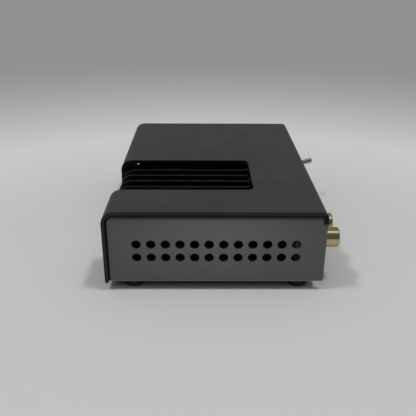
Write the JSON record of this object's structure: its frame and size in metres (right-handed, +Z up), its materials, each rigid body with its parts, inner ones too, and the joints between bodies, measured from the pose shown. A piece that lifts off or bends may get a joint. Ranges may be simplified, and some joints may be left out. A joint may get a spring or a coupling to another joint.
{
  "type": "headphone amplifier",
  "caption": "Flat desktop headphone amplifier: folded black cover with a fin-filled cut-out, vented grey tray, phono inputs, toggle switch, thumb-wheel volume and headphone socket.",
  "frame": {"origin": "on the ground, in the middle of the bounding box", "axes": "+Z up, the front wall looks along -Y, +X is the amplifier's right side seen from the front, which is the vented side in the picture"},
  "size_m": [0.127, 0.1036, 0.0352],
  "materials": {
    "cover_coat": "satin black powder coat on aluminium sheet",
    "tray_coat": "satin dark grey powder coat on steel sheet",
    "black_steel": "black oxide",
    "zinc_steel": "bright zinc",
    "foot_rubber": "matt black",
    "board_laminate": "dark green solder mask",
    "black_anodised": "black anodised extrusion",
    "chip_epoxy": "moulded epoxy",
    "pad_silicone": "grey silicone",
    "black_moulding": "injection moulded",
    "gold_plate": "gold plated, polished",
    "white_moulding": "injection moulded",
    "red_moulding": "injection moulded",
    "nickel_plate": "satin nickel",
    "switch_moulding": "moulded",
    "pot_moulding": "moulded",
    "wheel_moulding": "moulded, fine texture",
    "contact_brass": "spring brass",
    "lens": "frosted lens",
    "capacitor_sleeve": "shrunk sleeve"
  },
  "bodies": {
    "case": {"top_cover": "cover_coat", "chassis_tray": "tray_coat", "cover_pillars": "black_steel", "cover_screws": "black_steel", "foot_front_left": "foot_rubber", "foot_front_right": "foot_rubber", "foot_rear_left": "foot_rubber", "foot_rear_right": "foot_rubber", "circuit_board": "board_laminate", "board_standoffs": "zinc_steel", "board_screws": "black_steel", "heat_sink": "black_anodised", "sink_screws": "zinc_steel", "output_chip_left": "chip_epoxy", "output_chip_right": "chip_epoxy", "thermal_pads": "pad_silicone", "rca_body": "black_moulding", "rca_shell_left": "gold_plate", "rca_shell_right": "gold_plate", "rca_insulator_left": "white_moulding", "rca_insulator_right": "red_moulding", "rca_contact_left": "gold_plate", "rca_contact_right": "gold_plate", "switch_body": "switch_moulding", "switch_bushing": "nickel_plate", "switch_nut": "nickel_plate", "inlet_body": "black_moulding", "inlet_pin": "nickel_plate", "jack_body": "black_moulding", "jack_sleeve": "nickel_plate", "jack_nut": "nickel_plate", "jack_tip_contact": "contact_brass", "jack_ring_contact": "contact_brass", "jack_sleeve_contact": "contact_brass", "volume_pot": "pot_moulding", "power_light": "lens", "filter_capacitor_1": "capacitor_sleeve", "filter_capacitor_2": "capacitor_sleeve", "filter_capacitor_3": "capacitor_sleeve", "filter_capacitor_4": "capacitor_sleeve", "bridge_rectifier": "chip_epoxy", "regulator_positive": "chip_epoxy", "regulator_negative": "chip_epoxy", "muting_relay": "black_moulding"},
    "volume_wheel": {"volume_wheel": "wheel_moulding", "volume_spindle": "contact_brass", "wheel_screw": "zinc_steel"},
    "switch_lever": {"switch_lever": "nickel_plate"}
  },
  "joints": [
    {"name": "volume_turn", "type": "hinge", "parent": "case", "child": "volume_wheel", "pos_m": [-0.034, -0.04185, 0.0151], "axis": [0, 0, 1], "range_deg": [-140, 140]},
    {"name": "power_toggle", "type": "hinge", "parent": "case", "child": "switch_lever", "pos_m": [-0.0365, 0.04, 0.019], "axis": [1, 0, 0], "range_deg": [-27.6, 0]}
  ]
}
